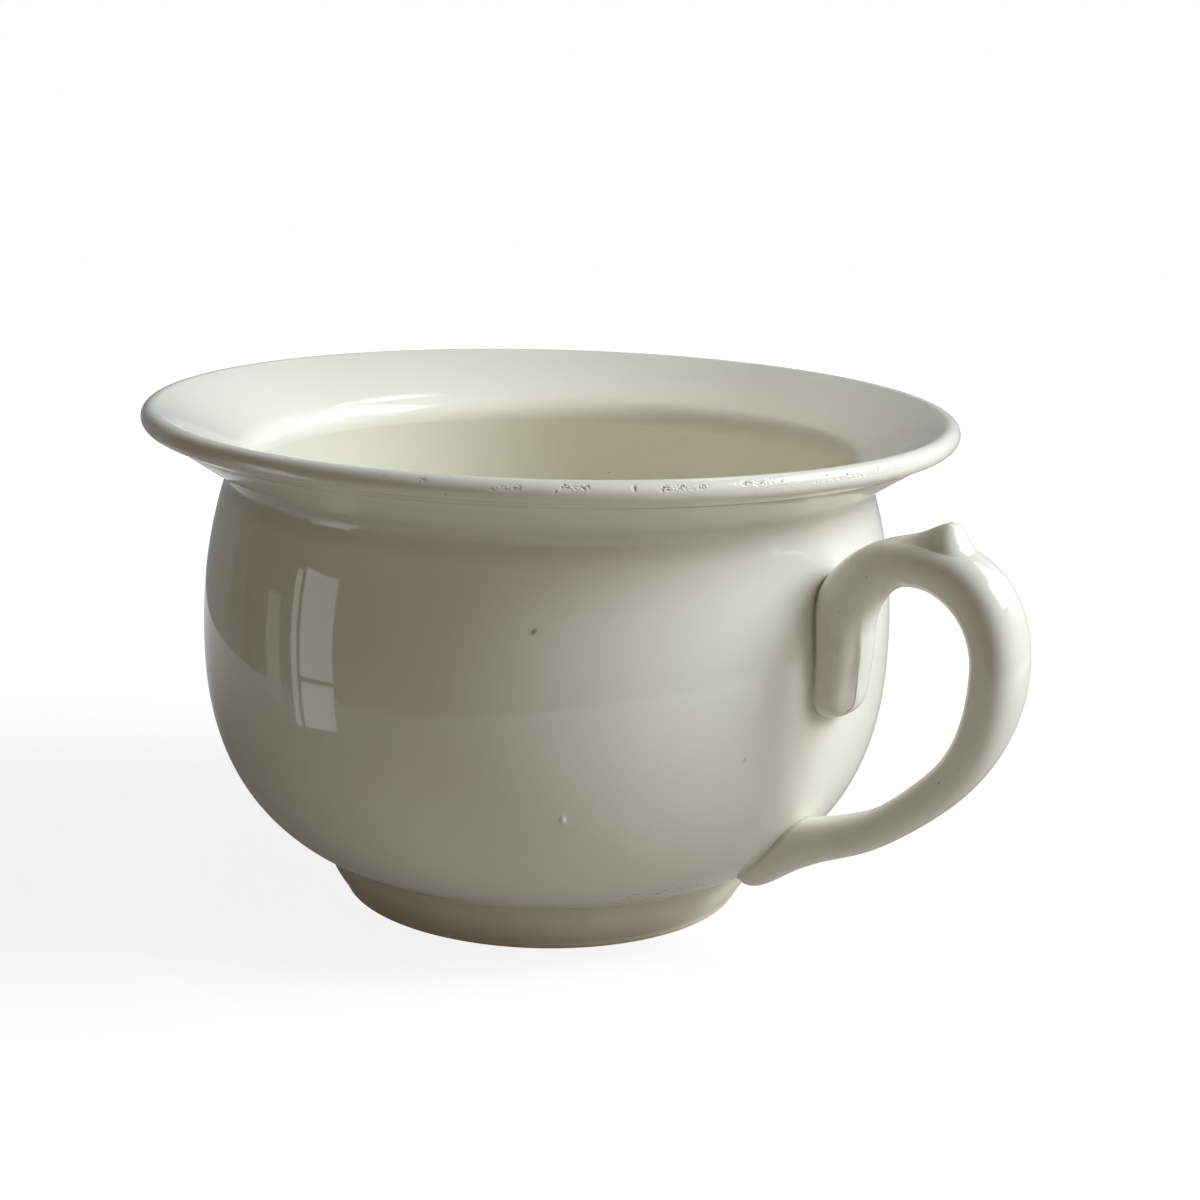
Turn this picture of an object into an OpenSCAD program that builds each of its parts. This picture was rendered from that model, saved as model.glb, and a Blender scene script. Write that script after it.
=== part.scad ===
// Chamber pot of white glazed earthenware: a turned bowl, a flared rim, a foot ring and one loop handle.
// Lengths are in millimetres and angles in degrees. The ground is z = 0, the bowl turns about z,
// and the handle lies along +x.

/* [Bowl] */
// Outside radius of the belly at its widest
belly_r = 98; // [90:1:108]
// Height of the widest line of the belly
belly_z = 80; // [74:1:90]
// Height of the neck, where the bowl ends and the rim begins
neck_z = 122.5; // [116:0.5:130]
// Radius of the arc that rises from the belly to the neck
shoulder_arc = 135; // [110:1:200]
// How far the lower curve runs in from the belly towards the axis
heel_run = 72; // [64:1:80]
// How far below the bowl's underside the lower curve would come to lie flat
heel_turn = 4.6; // [3:0.1:8]
// Fullness of the lower curve: 2 is an ellipse, more is squarer
heel_fullness = 2.5; // [2:0.1:3]
// Thickness of the wall
wall = 5.5; // [4:0.1:8]
// Thickness of the floor
floor_t = 7.5; // [5:0.5:12]
// Radius of the flat part of the floor inside
floor_r = 30; // [20:1:45]

/* [Rim] */
// Outside radius of the rim
rim_r = 114.5; // [109:0.5:125]
// How far the top of the lip stands above the neck
rim_rise = 19; // [15:0.5:28]
// Radius of the rolled lip
lip_r = 3; // [2:0.1:4]
// Depth of the crease under the lip
lip_crease = 0.5; // [0.1:0.1:1]
// How far the rounded throat, where the rim turns down into the bowl, stands above the neck
throat_rise = 8.5; // [6:0.5:12]
// Radius of the rounded throat
throat_round = 7; // [5:0.5:8]

/* [Foot] */
// Height of the foot ring
foot_h = 12; // [8:0.5:18]
// Width of the foot ring at its top, inwards from the heel of the bowl
foot_w = 13; // [10:0.5:18]
// How far the foot ring's top stands out past the heel of the bowl
foot_flare = 3; // [0:0.5:4]
// How far the foot ring's outside draws in from its top to the ground
foot_draft = 5; // [1:0.5:6]
// Rounding of the foot ring's two lower edges
foot_round = 2; // [0.5:0.1:3]

/* [Handle] */
// How far the loop's middle line stands out from the widest belly
loop_reach = 48.5; // [42:0.5:60]
// Height of the loop's furthest point
loop_z = 92; // [86:0.5:94]
// Angle that the lower arc of the loop turns through
lower_turn = 44.5; // [40:0.5:58]
// Height of the tip of the tail on the wall
tail_z = 18.5; // [16:0.5:24]
// How far the tail keeps the direction of the arc that it leaves and of the wall that it meets
tail_bend = 40; // [12:0.5:44]
// Length of the tongue that laps down the belly, from the arch to its tip
tongue_l = 22; // [16:0.5:28]
// How far the tongue stands off the wall
tongue_t = 7; // [5:0.1:8]
// Width of the tongue
tongue_w = 20; // [16:0.5:26]
// Thickness of the strap at the top of its arch
crown_t = 13; // [9:0.2:14]
// Width of the strap at the top of its arch
crown_w = 18; // [15:0.5:24]
// Thickness of the strap at its outer shoulder
shoulder_t = 15.2; // [11:0.2:17]
// Width of the strap at its outer shoulder
shoulder_w = 18.4; // [15:0.2:24]
// Thickness of the strap at the slim lower end of the loop
waist_t = 10.4; // [8:0.2:13]
// Width of the strap at the slim lower end of the loop
waist_w = 14.4; // [12:0.2:20]
// Thickness of the tail
tail_t = 11.6; // [9:0.2:14]
// Width of the tail
tail_w = 16; // [12:0.5:22]
// Fullness of the strap's oval: 2 is an ellipse, more is squarer
strap_fullness = 2.3; // [2:0.1:3]

/* [Thumb rest] */
// Height of the thumb rest above the strap
spur_h = 4.8; // [3:0.2:8]
// Length of the slope behind its point, towards the bowl
spur_back_l = 15; // [10:0.5:18]
// Length of the slope in front of its point
spur_front_l = 6.5; // [4:0.5:10]
// Width of its foot across the strap
spur_w = 12; // [8:0.5:14]
// Radius of its blunt point
spur_tip_r = 1.2; // [0.6:0.1:2]
// How strongly it draws in to its point: 1 is a plain cone
spur_draw = 1.5; // [1:0.1:2.5]
// Clearance between it and the strap
spur_gap = 0.1; // [0.05:0.05:0.3]
// Place of its point on the arch, as an angle up from level
spur_turn = 75; // [65:1:90]

/* [Slip joints] */
// Thickness of the clay slip between two pieces that are stuck together
slip_t = 0.6; // [0.3:0.1:1.2]
// How far the slip squeezes out round a handle end
slip_bead = 0.8; // [0.4:0.1:1.5]

/* [Hidden] */
$fn = 96;
glaze = "ivory";
slip_white = "linen";
curve_steps = 14;
round_steps = 8;
loop_sides = 20;
tip_scale = 0.12;

// Shares of the handle's way at which its strap takes its sizes: 0 to 1 is the tongue, 1 to 2 the arch,
// 2 to 3 the lower arc and 3 to 4 the tail
tongue_share = 1.05;
crown_share = 1.45;
shoulder_share = 1.8;
waist_share = 3.2;
tail_share = 3.6;

// Heights of the bowl's underside and inside floor, and the centre of the shoulder arc
base_z = foot_h + slip_t;
floor_z = base_z + floor_t;
shoulder_x = belly_r - shoulder_arc;

// Point of a rounded quarter curve, from its side at t = 0 to its flat bottom at t = 90
function heel_point(r, run, drop, t) = [
    r - run * (1 - pow(cos(t), 2 / heel_fullness)),
    belly_z - drop * pow(sin(t), 2 / heel_fullness)
];

// Angle at which that curve has come down by some depth
function heel_angle(depth, drop) = asin(pow(depth / drop, heel_fullness / 2));

// Points of the curve, upwards from some depth to the widest line
function heel_line(r, run, drop, depth) = [
    for (i = [curve_steps:-1:0]) heel_point(r, run, drop, i / curve_steps * heel_angle(depth, drop))
];

// Points of the shoulder above the widest line, on an arc about the shoulder's centre
function shoulder_line(arc) = let (top = asin((neck_z - belly_z) / arc)) [
    for (i = [1:curve_steps]) let (turn = i / curve_steps * top)
        [shoulder_x, belly_z] + arc * [cos(turn), sin(turn)]
];

// Points of an arc, and a list turned round
function arc_line(centre, r, from, to, steps) = [
    for (i = [0:steps]) let (turn = from + (to - from) * i / steps)
        centre + r * [cos(turn), sin(turn)]
];
function turned(list) = [for (i = [len(list) - 1:-1:0]) list[i]];

// A line moved sideways by some distance, to the right of its direction
function moved_line(line, distance) = [
    for (i = [0:len(line) - 1])
        let (run = line[min(i + 1, len(line) - 1)] - line[max(i - 1, 0)])
        line[i] + distance * [run.y, -run.x] / norm(run)
];

// Outside and inside of the bowl, each from the bottom upwards
heel_drop = belly_z - base_z + heel_turn;
outside = concat(
    heel_line(belly_r, heel_run, heel_drop, belly_z - base_z),
    shoulder_line(shoulder_arc)
);
inside = concat(
    heel_line(belly_r - wall, belly_r - wall - floor_r, belly_z - floor_z, belly_z - floor_z),
    shoulder_line(shoulder_arc - wall)
);
seat_line = moved_line(outside, slip_t);
heel_r = outside[0].x;
neck_r = outside[len(outside) - 1].x;
neck_in_r = inside[len(inside) - 1].x;

module bowl() {
    color(glaze) rotate_extrude()
        polygon(concat([[0, base_z]], outside, turned(inside), [[0, floor_z]]));
}

// Rim: its top is the line that touches the throat and the lip. Its underside runs from the neck to the lip.
throat = [neck_in_r + throat_round, neck_z + throat_rise - throat_round];
lip = [rim_r - lip_r, neck_z + rim_rise - lip_r];
to_throat = lip - throat;
to_neck = lip - [neck_r, neck_z];
under_gap = lip_r - lip_crease;
top_slope = atan2(to_throat.y, to_throat.x) + asin((lip_r - throat_round) / norm(to_throat));
under_slope = atan2(to_neck.y, to_neck.x) - asin(under_gap / norm(to_neck));

module rim() {
    color(glaze) rotate_extrude()
        polygon(concat(
            [[neck_r, neck_z], [neck_in_r, neck_z]],
            arc_line(throat, throat_round, 180, top_slope + 90, round_steps),
            arc_line(lip, lip_r, top_slope + 90, under_slope - 90 - acos(under_gap / lip_r), 2 * round_steps)
        ));
}

// Inside of the foot ring, and its outside at its top and on the ground
foot_in_r = heel_r - foot_w;
foot_top_r = heel_r + foot_flare;
foot_r = foot_top_r - foot_draft;

module foot_ring() {
    outer_edge = [foot_r - foot_round, foot_round];
    inner_edge = [foot_in_r + foot_round, foot_round];
    color(glaze) rotate_extrude()
        polygon(concat(
            [[foot_in_r, foot_h]],
            arc_line(inner_edge, foot_round, 180, 270, round_steps),
            arc_line(outer_edge, foot_round, 270, 360, round_steps),
            [[foot_top_r, foot_h]]
        ));
}

// The slip lies under the bowl and fills the corner between the foot ring's top and the bowl's heel
module foot_slip() {
    up_heel = outside[1] - outside[0];
    corner = outside[0] + min(1, (foot_flare + slip_t) / up_heel.x) * up_heel;
    color(slip_white) rotate_extrude()
        polygon([[foot_in_r, foot_h], [foot_top_r, foot_h], corner, outside[0], [foot_in_r, base_z]]);
}

// The loop's middle line: up the tongue, over the arch, round the lower arc and down the tail to the wall.
// Each station holds its place, the angle of its outward side, its share of the way and its size factor.
arch_r = loop_reach / 2;
arch = [belly_r + arch_r, loop_z];
lower = [belly_r, loop_z];
tongue_round = tongue_w / 2;
tail_round = tail_w / 2;
wall_table = [for (p = outside) [p.y, p.x]];
tail_tip = [lookup(tail_z, wall_table), tail_z];
up_wall = [lookup(tail_z + tail_round, wall_table), tail_z + tail_round] - tail_tip;
tail_start = lower + loop_reach * [cos(lower_turn), -sin(lower_turn)];
tail_ends = [
    tail_start,
    tail_start - tail_bend * [sin(lower_turn), cos(lower_turn)],
    tail_tip + tail_bend * up_wall / norm(up_wall),
    tail_tip
];
tail_l = norm(tail_tip - tail_start);

// Place on the tail, and its direction, at some share of it
function tail_point(s) = [pow(1 - s, 3), 3 * s * pow(1 - s, 2), 3 * s * s * (1 - s), pow(s, 3)] * tail_ends;
function tail_way(s) = [-pow(1 - s, 2), (1 - s) * (1 - 3 * s), s * (2 - 3 * s), s * s] * tail_ends;

// Rounded end of a lapped piece: its size factor at some distance from its tip
function end_size(from_tip, round_l) =
    from_tip >= round_l ? 1 : max(tip_scale, sqrt(1 - pow(1 - from_tip / round_l, 2)));

tongue_stations = [
    for (i = [0:round_steps]) let (d = tongue_round * (1 - cos(90 * i / round_steps)))
        [belly_r, loop_z - tongue_l + d, 180, d / tongue_l, end_size(d, tongue_round)]
];
arch_stations = [
    for (i = [0:2 * curve_steps]) let (part = i / (2 * curve_steps), turn = 180 * (1 - part))
        [arch.x + arch_r * cos(turn), arch.y + arch_r * sin(turn), turn, 1 + part, 1]
];
lower_stations = [
    for (i = [1:curve_steps]) let (part = i / curve_steps, turn = -lower_turn * part)
        [lower.x + loop_reach * cos(turn), lower.y + loop_reach * sin(turn), turn, 2 + part, 1]
];
tail_shares = concat(
    [for (i = [1:curve_steps]) (1 - tail_round / tail_l) * i / curve_steps],
    [for (i = [1:round_steps]) 1 - tail_round / tail_l * (1 - sin(90 * i / round_steps))]
);
stations = concat(
    tongue_stations,
    arch_stations,
    lower_stations,
    [for (s = tail_shares) let (p = tail_point(s), way = tail_way(s))
        [p.x, p.y, atan2(way.x, -way.y), 3 + s, end_size((1 - s) * tail_l, tail_round)]]
);

// Half thickness and half width of the strap by its share of the way
strap_sizes = [
    [0, tongue_t, tongue_w / 2],
    [tongue_share, tongue_t, tongue_w / 2],
    [crown_share, crown_t / 2, crown_w / 2],
    [shoulder_share, shoulder_t / 2, shoulder_w / 2],
    [2, (shoulder_t + waist_t) / 4, shoulder_w / 2],
    [3, waist_t / 2, waist_w / 2],
    [waist_share, waist_t / 2, waist_w / 2],
    [tail_share, tail_t / 2, tail_w / 2],
    [4, tail_t / 2, tail_w / 2]
];

// Sizes at some share of the way, eased from one given place to the next
function strap_size(share) =
    let (
        last = len(strap_sizes) - 2,
        k = max([for (i = [0:last]) if (strap_sizes[i][0] <= share || i == 0) i]),
        part = (share - strap_sizes[k][0]) / (strap_sizes[k + 1][0] - strap_sizes[k][0])
    )
    strap_sizes[k] + (strap_sizes[k + 1] - strap_sizes[k]) * part * part * (3 - 2 * part);

// A cosine or sine pushed outwards to the strap's full oval
function full(x) = sign(x) * pow(abs(x), 2 / strap_fullness);

// Oval ring of points round one station, made larger all round by grow
function ring(station, grow) =
    let (
        size = station[4] * (strap_size(station[3]) + [0, grow, grow]),
        side = [cos(station[2]), sin(station[2])]
    )
    [for (j = [0:loop_sides - 1]) let (a = 360 * j / loop_sides, d = size[1] * full(cos(a)))
        [station.x + d * side.x, size[2] * full(sin(a)), station.y + d * side.y]];

// Solid through a row of rings that have as many points each
module loft(rings) {
    count = len(rings);
    sides = len(rings[0]);
    polyhedron(
        points = [for (points = rings) each points],
        faces = concat(
            [[for (j = [0:sides - 1]) j]],
            [for (i = [0:count - 2], j = [0:sides - 1])
                let (a = i * sides + j, b = i * sides + (j + 1) % sides)
                each [[a, a + sides, b], [b, a + sides, b + sides]]],
            [[for (j = [sides - 1:-1:0]) (count - 1) * sides + j]]
        )
    );
}

// Solid along some stations of the loop
module loop(list, grow = 0) {
    loft([for (station = list) ring(station, grow)]);
}

// The bowl's outside with the slip on it, which the handle's ends are shaped to
module seat() {
    rotate_extrude()
        polygon(concat([[0, seat_line[0].y]], seat_line, [[0, seat_line[len(seat_line) - 1].y]]));
}

module slip_coat() {
    rotate_extrude() polygon(concat(outside, turned(seat_line)));
}

module handle() {
    color(glaze) difference() {
        loop(stations);
        seat();
    }
}

// Distance of the strap's outer face from the arch's centre, at some angle on the arch and place across it
function strap_top(turn, across) = let (size = strap_size(2 - turn / 180))
    arch_r + size[1] * pow(1 - pow(abs(across) / size[2], strap_fullness), 1 / strap_fullness);

// Egg-shaped ring of the thumb rest at some share of its height, at its full size or a part of it.
// It is bent along the arch, and its height is counted from the strap's outer face.
function spur_ring(share, size = 1) =
    let (
        draw = pow(1 - share, spur_draw),
        front = size * (spur_tip_r + (spur_front_l - spur_tip_r) * draw),
        back = size * (spur_tip_r + (spur_back_l - spur_tip_r) * draw),
        half_w = size * (spur_tip_r + (spur_w / 2 - spur_tip_r) * draw)
    )
    [for (j = [0:loop_sides - 1])
        let (
            a = 360 * j / loop_sides,
            along = cos(a) * (cos(a) > 0 ? front : back),
            across = -half_w * sin(a),
            turn = spur_turn - along / (arch_r + crown_t / 2) * 180 / PI,
            up = strap_top(turn, across) + spur_gap + spur_h * share
        )
        [arch.x + up * cos(turn), across, arch.y + up * sin(turn)]];

module thumb_rest() {
    color(glaze) loft(concat(
        [for (size = [1 / round_steps:1 / round_steps:1 - 1 / round_steps]) spur_ring(0, size)],
        [for (i = [0:round_steps]) spur_ring(i / round_steps)]
    ));
}

module slip_joint(tip) {
    intersection() {
        slip_coat();
        loop(tip, slip_bead);
    }
}

module upper_slip() {
    color(slip_white) slip_joint([for (station = stations) if (station[3] < crown_share) station]);
}

module lower_slip() {
    color(slip_white) slip_joint([for (station = stations) if (station[3] > waist_share) station]);
}

bowl();
rim();
foot_ring();
foot_slip();
handle();
thumb_rest();
upper_slip();
lower_slip();
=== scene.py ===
# %% [markdown]
# # A white chamber pot
# The pot is thick white earthenware under a clear, slightly creamy glaze. A potter turned the bowl and
# its flared rim, a foot ring carries it, and a loop handle was moulded apart and stuck on with clay slip.
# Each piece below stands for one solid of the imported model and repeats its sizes. Small marks of use come
# on top.

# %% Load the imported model
import math
import bpy
from mathutils import Matrix, Vector


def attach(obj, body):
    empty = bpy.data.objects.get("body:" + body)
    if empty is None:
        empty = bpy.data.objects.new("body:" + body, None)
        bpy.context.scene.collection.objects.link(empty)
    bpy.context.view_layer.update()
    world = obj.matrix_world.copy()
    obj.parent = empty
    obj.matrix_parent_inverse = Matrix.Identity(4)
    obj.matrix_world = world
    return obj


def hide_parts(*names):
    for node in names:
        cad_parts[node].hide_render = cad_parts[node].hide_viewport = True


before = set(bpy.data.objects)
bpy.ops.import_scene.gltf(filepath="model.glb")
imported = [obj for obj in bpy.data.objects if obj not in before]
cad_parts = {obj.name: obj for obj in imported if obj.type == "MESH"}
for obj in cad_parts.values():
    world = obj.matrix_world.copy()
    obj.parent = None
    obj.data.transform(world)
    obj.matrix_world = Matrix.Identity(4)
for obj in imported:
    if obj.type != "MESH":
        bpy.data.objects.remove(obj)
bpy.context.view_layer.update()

mm = 0.001
scene = bpy.context.scene
scene.view_settings.view_transform = "Standard"

# %% [markdown]
# ## The camera
# The photograph looks down on the pot from the front, with the handle on the right and turned a little
# towards us. A longer lens than usual keeps the rim's ellipse flat, and the picture leans by more than a
# degree and a half, as a hand-held one does. The camera is set first, so that every render shows the pot
# as the photograph does.

# %% Set the camera
camera_place = Vector((0.4199, -0.5186, 0.2495))
camera_look = Vector((-0.5938, 0.7680, -0.2396))
camera_lean = math.radians(1.64)

camera_data = bpy.data.cameras.new("photo_camera")
camera = bpy.data.objects.new("photo_camera", camera_data)
scene.collection.objects.link(camera)
upright = camera_look.to_track_quat("-Z", "Y").to_matrix()
camera.location = camera_place
camera.rotation_euler = (upright @ Matrix.Rotation(camera_lean, 3, "Z")).to_euler()
camera_data.sensor_width = 36
camera_data.lens = 71.48
scene.camera = camera
print("camera looks from", [round(x, 3) for x in camera.location])

# %% [markdown]
# ## Drawing a line and turning it
# A potter's wheel turns a piece about one axis, and Blender's screw modifier does the same with a line.
# The line is drawn as by hand: one corner is extruded from point to point in the upright plane of the
# handle. A full turn leaves doubled corners where it closes and on the axis, so these are merged, and the
# faces are then turned outwards.

# %% Helpers for a turned piece


def clear_selection():
    if bpy.context.object and bpy.context.object.mode != "OBJECT":
        bpy.ops.object.mode_set(mode="OBJECT")
    bpy.ops.object.select_all(action="DESELECT")


def draw_line(name, points):
    clear_selection()
    bpy.ops.mesh.primitive_plane_add(size=mm)
    line = bpy.context.object
    line.name = line.data.name = name
    bpy.ops.object.mode_set(mode="EDIT")
    bpy.ops.mesh.merge(type="CENTER")
    bpy.ops.transform.translate(value=(points[0][0], 0, points[0][1]))
    for (r0, z0), (r1, z1) in zip(points, points[1:]):
        bpy.ops.mesh.extrude_vertices_move(TRANSFORM_OT_translate={"value": (r1 - r0, 0, z1 - z0)})
    return line


def apply_modifier(piece, kind, **values):
    made = piece.modifiers.new(kind.lower(), kind)
    for name, value in values.items():
        setattr(made, name, value)
    bpy.ops.object.modifier_apply(modifier=made.name)


def turn(line, steps):
    bpy.ops.object.mode_set(mode="OBJECT")
    apply_modifier(line, "SCREW", axis="Z", angle=math.tau, steps=steps, render_steps=steps)
    bpy.ops.object.mode_set(mode="EDIT")
    bpy.ops.mesh.select_all(action="SELECT")
    bpy.ops.mesh.remove_doubles(threshold=0.002 * mm)
    bpy.ops.mesh.normals_make_consistent(inside=False)
    bpy.ops.object.mode_set(mode="OBJECT")
    bpy.ops.object.shade_smooth_by_angle(angle=math.radians(35))
    print(line.name, "turned:", len(line.data.polygons), "faces")


def arc(centre, r, start, end, steps):
    turns = [start + (end - start) * i / steps for i in range(steps + 1)]
    return [(centre[0] + r * math.cos(t), centre[1] + r * math.sin(t)) for t in turns]


# %% [markdown]
# ## The bowl's lines
# The belly is a full round that draws in to the foot below and to the neck above. The lower curve is a
# superellipse, which is squarer than a circle, and the shoulder is an arc of large radius. The inside
# follows the outside by the thickness of the wall. Where the shoulder meets the flare of the rim, the
# glaze fills the corner in a small hollow.

# %% Sizes and curves of the bowl
belly_r, belly_z, neck_z = 98 * mm, 80 * mm, 122.5 * mm
shoulder_arc, wall = 135 * mm, 5.5 * mm
heel_run, heel_drop, heel_fullness = 72 * mm, 72 * mm, 2.5
base_z, floor_z, floor_r = 12.6 * mm, 20.1 * mm, 30 * mm
shoulder_centre = (belly_r - shoulder_arc, belly_z)


def heel_curve(r, run, drop, depth, steps):
    """Lower curve, upwards from some depth under the belly's widest line."""
    power = 2 / heel_fullness
    end = math.asin((depth / drop) ** (1 / power))
    turns = [end * (1 - i / steps) for i in range(steps + 1)]
    return [(r - run * (1 - math.cos(t) ** power), belly_z - drop * math.sin(t) ** power) for t in turns]


def wall_radius(z):
    """Outside radius of the bowl at some height."""
    if z > belly_z:
        return shoulder_centre[0] + math.sqrt(shoulder_arc**2 - (z - belly_z) ** 2)
    depth = min((belly_z - z) / heel_drop, 1)
    return belly_r - heel_run * (1 - (1 - depth**heel_fullness) ** (1 / heel_fullness))


heel_r = wall_radius(base_z)
neck_r = wall_radius(neck_z)
print("heel and neck radius in mm:", round(heel_r / mm, 2), round(neck_r / mm, 2))

# %% [markdown]
# ## The rim's lines
# The rim flares up from the neck at about a third of a right angle and ends in a rolled lip, a bead that
# keeps the edge from chipping. Three circles give its section: the bead, the rounded throat where the rim
# turns down into the bowl, and the hollow at the neck. Straight lines that touch the circles join them.

# %% Sizes and circles of the rim
rim_r, rim_z = 114.5 * mm, 141.5 * mm
lip_r, lip_crease, throat_r, hollow_r = 3 * mm, 0.8 * mm, 7 * mm, 4 * mm
lip = (rim_r - lip_r, rim_z - lip_r)

# The throat touches the inside of the wall, and its centre lies a little above the neck
throat_lift = 1.5 * mm
throat_z = neck_z + throat_lift
throat_turn = math.asin((throat_z - belly_z) / (shoulder_arc - wall + throat_r))
throat = (shoulder_centre[0] + (shoulder_arc - wall + throat_r) * math.cos(throat_turn), throat_z)
to_lip = (lip[0] - throat[0], lip[1] - throat[1])
top_slope = math.atan2(to_lip[1], to_lip[0]) + math.asin((lip_r - throat_r) / math.hypot(*to_lip))

# The underside runs from the neck to the crease under the lip
from_neck = (lip[0] - neck_r, lip[1] - neck_z)
under_gap = lip_r - lip_crease
under_slope = math.atan2(from_neck[1], from_neck[0]) - math.asin(under_gap / math.hypot(*from_neck))
crease_turn = under_slope - math.pi / 2 - math.acos(under_gap / lip_r)

# The hollow touches the shoulder's arc and the underside
along = (math.cos(under_slope), math.sin(under_slope))
start = (neck_r + hollow_r * along[1] - shoulder_centre[0], neck_z - hollow_r * along[0] - shoulder_centre[1])
half_b = start[0] * along[0] + start[1] * along[1]
run = -half_b + math.sqrt(half_b**2 - start[0] ** 2 - start[1] ** 2 + (shoulder_arc + hollow_r) ** 2)
hollow = (shoulder_centre[0] + start[0] + run * along[0], shoulder_centre[1] + start[1] + run * along[1])
shoulder_end = math.atan2(hollow[1] - belly_z, hollow[0] - shoulder_centre[0])
hollow_seam = math.pi - math.asin((neck_z - hollow[1]) / hollow_r)
throat_seam = math.pi - math.asin((neck_z - throat[1]) / throat_r)
print("flare in degrees:", round(math.degrees(top_slope), 1))
print("centre of the neck's hollow in mm:", [round(x / mm, 1) for x in hollow])

# %% [markdown]
# ## Turning the bowl
# The bowl could be a sphere that is cut open and pushed into shape, but its wall has two different lines,
# and turning gives both at once. The line goes from the axis along the underside, up the outside, over
# the joint at the neck and down the inside to the floor.

# %% The bowl
outside = heel_curve(belly_r, heel_run, heel_drop, belly_z - base_z, 44)
outside += arc(shoulder_centre, shoulder_arc, 0, shoulder_end, 24)[1:]
outside += arc(hollow, hollow_r, shoulder_end + math.pi, hollow_seam, 5)[1:]
inside = heel_curve(belly_r - wall, belly_r - wall - floor_r, belly_z - floor_z, belly_z - floor_z, 40)
inside += arc(shoulder_centre, shoulder_arc - wall, 0, throat_turn, 24)[1:]
inside += arc(throat, throat_r, throat_turn + math.pi, throat_seam, 2)[1:]
flat_steps = 6
underside = [(heel_r * i / flat_steps, base_z) for i in range(flat_steps)]
floor_line = [(floor_r * i / flat_steps, floor_z) for i in range(flat_steps)]

bowl = draw_line("turned_bowl", underside + outside + inside[::-1] + floor_line[::-1])
turn(bowl, 360)

# %% [markdown]
# ## Turning the rim
# The rim is a closed ring, so its line comes back to its start. The tool that rounded the bead left a
# fine groove on the underside, a little behind it. The rim is turned in many more steps than the bowl,
# because the lip gets small chips later, and these need small faces.

# %% The rim
groove_back, groove_half_w, groove_depth = 3.4 * mm, 0.5 * mm, 0.12 * mm
under_l = math.sqrt(math.hypot(*from_neck) ** 2 - under_gap**2) - math.sqrt(lip_r**2 - under_gap**2)


def under_point(back, depth=0.0):
    """Place on the rim's underside, by its distance from the lip's crease and its depth in the clay."""
    at = under_l - back
    return (neck_r + at * along[0] - depth * along[1], neck_z + at * along[1] + depth * along[0])


groove = under_point(groove_back)
rim_line = arc(hollow, hollow_r, hollow_seam, under_slope + math.pi / 2, 9)
rim_line += [under_point(back * mm) for back in (14, 10, 7)]
rim_line += [under_point(groove_back + groove_half_w), under_point(groove_back, groove_depth)]
rim_line += [under_point(groove_back - groove_half_w), under_point(1.5 * mm)]
rim_line += arc(lip, lip_r, crease_turn, top_slope + math.pi / 2, 26)
top_end = arc(throat, throat_r, top_slope + math.pi / 2, throat_seam, 12)
top_start, top_steps = rim_line[-1], 5
for i in range(1, top_steps):
    rim_line.append([a + (b - a) * i / top_steps for a, b in zip(top_start, top_end[0])])
rim_line += top_end

rim = draw_line("flared_rim", rim_line + rim_line[:1])
turn(rim, 1080)

# %% [markdown]
# ## The foot
# The foot ring was turned with the bowl upside down and is only a little narrower at the ground than at
# its top. The line between foot and bowl is filled with slip, which the glaze rounds to a soft hollow.

# %% The foot ring and its slip
foot_h, foot_in_r, foot_r, foot_round = 12 * mm, heel_r - 13 * mm, heel_r - 2 * mm, 2 * mm
foot_top_r, foot_bow = heel_r + 3 * mm, 1.6


def foot_radius(z):
    share = (z - foot_round) / (foot_h - foot_round)
    return foot_r + (foot_top_r - foot_r) * (1 - (1 - share) ** foot_bow)


foot_line = [(foot_in_r, foot_h), (foot_in_r, 7 * mm)]
foot_line += arc((foot_in_r + foot_round, foot_round), foot_round, math.pi, 1.5 * math.pi, 8)
foot_line += arc((foot_r - foot_round, foot_round), foot_round, 1.5 * math.pi, math.tau, 8)
foot_line += [(foot_radius(z * mm), z * mm) for z in (3, 5, 7, 9, 12)]
foot_ring = draw_line("turned_foot", foot_line + foot_line[:1])
turn(foot_ring, 360)

# The slip laps a little over both pieces, and a curve through three points gives its hollow outside
slip_top_z, slip_low_z, slip_lap, slip_in_r = 15.6 * mm, 9.5 * mm, 0.2 * mm, heel_r - 2 * mm
slip_corner = (foot_top_r + 0.3 * mm, foot_h + 1.2 * mm)
hollow_ends = [(wall_radius(slip_top_z), slip_top_z), slip_corner, (foot_radius(slip_low_z), slip_low_z)]
slip_line = [(foot_in_r, foot_h), (foot_in_r, base_z), (slip_in_r, base_z)]
slip_line += [(wall_radius(z * mm) - slip_lap, z * mm) for z in (12.8, 13.4, 14.2, 15)]
slip_line += [tuple(a * (1 - t) ** 2 + b * 2 * t * (1 - t) + c * t * t for a, b, c in zip(*hollow_ends))
              for t in (i / 12 for i in range(13))]
slip_line += [(foot_radius(z * mm) - slip_lap, z * mm) for z in (10, 11)] + [(slip_in_r, foot_h)]
foot_slip = draw_line("foot_joint", slip_line + slip_line[:1])
turn(foot_slip, 360)

# %% [markdown]
# ## The handle's way
# The handle was pressed in a mould as a strap and bent to a loop: a tongue that laps down the belly, a
# half-round arch, a wide lower arc and a tail that runs out on the wall near the foot. Its way is a curve
# in the upright plane. It is laid out flat first, because a curve that lies flat bends a mesh without
# twisting it.

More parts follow.
